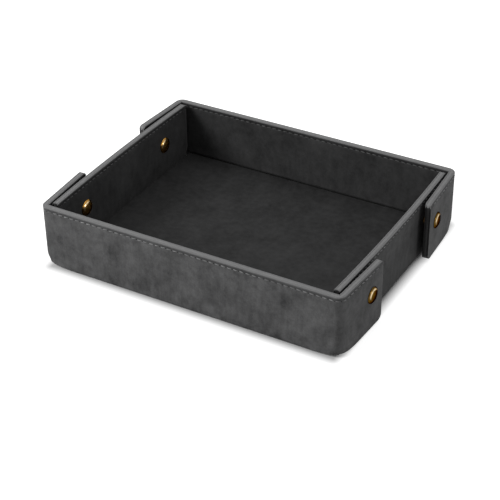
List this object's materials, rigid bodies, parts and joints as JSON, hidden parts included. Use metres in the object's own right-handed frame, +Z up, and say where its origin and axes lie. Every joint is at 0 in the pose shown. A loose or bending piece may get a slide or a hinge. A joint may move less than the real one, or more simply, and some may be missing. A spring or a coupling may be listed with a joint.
{
  "type": "valet tray",
  "caption": "Rectangular leather valet tray with stiff folding walls, wrap-round corner tabs and brass snaps; holds small everyday things and unsnaps to fold flat.",
  "frame": {"origin": "middle of the tray, on its underside", "axes": "+X towards the right end wall, +Y towards the back long wall, +Z up out of the tray"},
  "size_m": [0.2618, 0.198, 0.052],
  "materials": {
    "outer_leather": "matte brushed, charcoal",
    "lining_leather": "matte brushed, charcoal",
    "stiffener_board": "grey board with painted edges",
    "antique_brass": "aged, polished crown"
  },
  "bodies": {
    "base": {"base_cover": "outer_leather", "base_board": "stiffener_board", "base_lining": "lining_leather"},
    "front_wall": {"front_wall_cover": "outer_leather", "front_wall_board": "stiffener_board", "front_wall_lining": "lining_leather"},
    "back_wall": {"back_wall_cover": "outer_leather", "back_wall_board": "stiffener_board", "back_wall_lining": "lining_leather"},
    "left_end_wall": {"left_end_wall_cover": "outer_leather", "left_end_wall_board": "stiffener_board", "left_end_wall_lining": "lining_leather", "front_left_snap_stud": "antique_brass", "front_left_snap_post": "antique_brass", "back_left_snap_stud": "antique_brass", "back_left_snap_post": "antique_brass"},
    "right_end_wall": {"right_end_wall_cover": "outer_leather", "right_end_wall_board": "stiffener_board", "right_end_wall_lining": "lining_leather", "front_right_snap_stud": "antique_brass", "front_right_snap_post": "antique_brass", "back_right_snap_stud": "antique_brass", "back_right_snap_post": "antique_brass"},
    "front_left_tab": {"front_left_tab_cover": "outer_leather", "front_left_tab_board": "stiffener_board", "front_left_tab_lining": "lining_leather", "front_left_tab_snap_cap": "antique_brass", "front_left_tab_snap_socket": "antique_brass"},
    "front_right_tab": {"front_right_tab_cover": "outer_leather", "front_right_tab_board": "stiffener_board", "front_right_tab_lining": "lining_leather", "front_right_tab_snap_cap": "antique_brass", "front_right_tab_snap_socket": "antique_brass"},
    "back_left_tab": {"back_left_tab_cover": "outer_leather", "back_left_tab_board": "stiffener_board", "back_left_tab_lining": "lining_leather", "back_left_tab_snap_cap": "antique_brass", "back_left_tab_snap_socket": "antique_brass"},
    "back_right_tab": {"back_right_tab_cover": "outer_leather", "back_right_tab_board": "stiffener_board", "back_right_tab_lining": "lining_leather", "back_right_tab_snap_cap": "antique_brass", "back_right_tab_snap_socket": "antique_brass"}
  },
  "joints": [
    {"name": "front_wall_fold", "type": "hinge", "parent": "base", "child": "front_wall", "pos_m": [0, -0.09827, 0.00073], "axis": [1, 0, 0], "range_deg": [0, 90]},
    {"name": "back_wall_fold", "type": "hinge", "parent": "base", "child": "back_wall", "pos_m": [0, 0.09827, 0.00073], "axis": [-1, 0, 0], "range_deg": [0, 90]},
    {"name": "left_end_wall_fold", "type": "hinge", "parent": "base", "child": "left_end_wall", "pos_m": [-0.1152, 0, 0.0051], "axis": [0, 1, 0], "range_deg": [0, 83.7]},
    {"name": "right_end_wall_fold", "type": "hinge", "parent": "base", "child": "right_end_wall", "pos_m": [0.1152, 0, 0.0051], "axis": [0, -1, 0], "range_deg": [0, 83.7]},
    {"name": "front_left_tab_swing", "type": "hinge", "parent": "front_wall", "child": "front_left_tab", "pos_m": [-0.12424, -0.09724, 0.026], "axis": [0, 0, 1], "range_deg": [0, 86.45]},
    {"name": "front_right_tab_swing", "type": "hinge", "parent": "front_wall", "child": "front_right_tab", "pos_m": [0.12424, -0.09724, 0.026], "axis": [0, 0, -1], "range_deg": [0, 86.45]},
    {"name": "back_left_tab_swing", "type": "hinge", "parent": "back_wall", "child": "back_left_tab", "pos_m": [-0.12424, 0.09724, 0.026], "axis": [0, 0, -1], "range_deg": [0, 86.45]},
    {"name": "back_right_tab_swing", "type": "hinge", "parent": "back_wall", "child": "back_right_tab", "pos_m": [0.12424, 0.09724, 0.026], "axis": [0, 0, 1], "range_deg": [0, 86.45]}
  ]
}
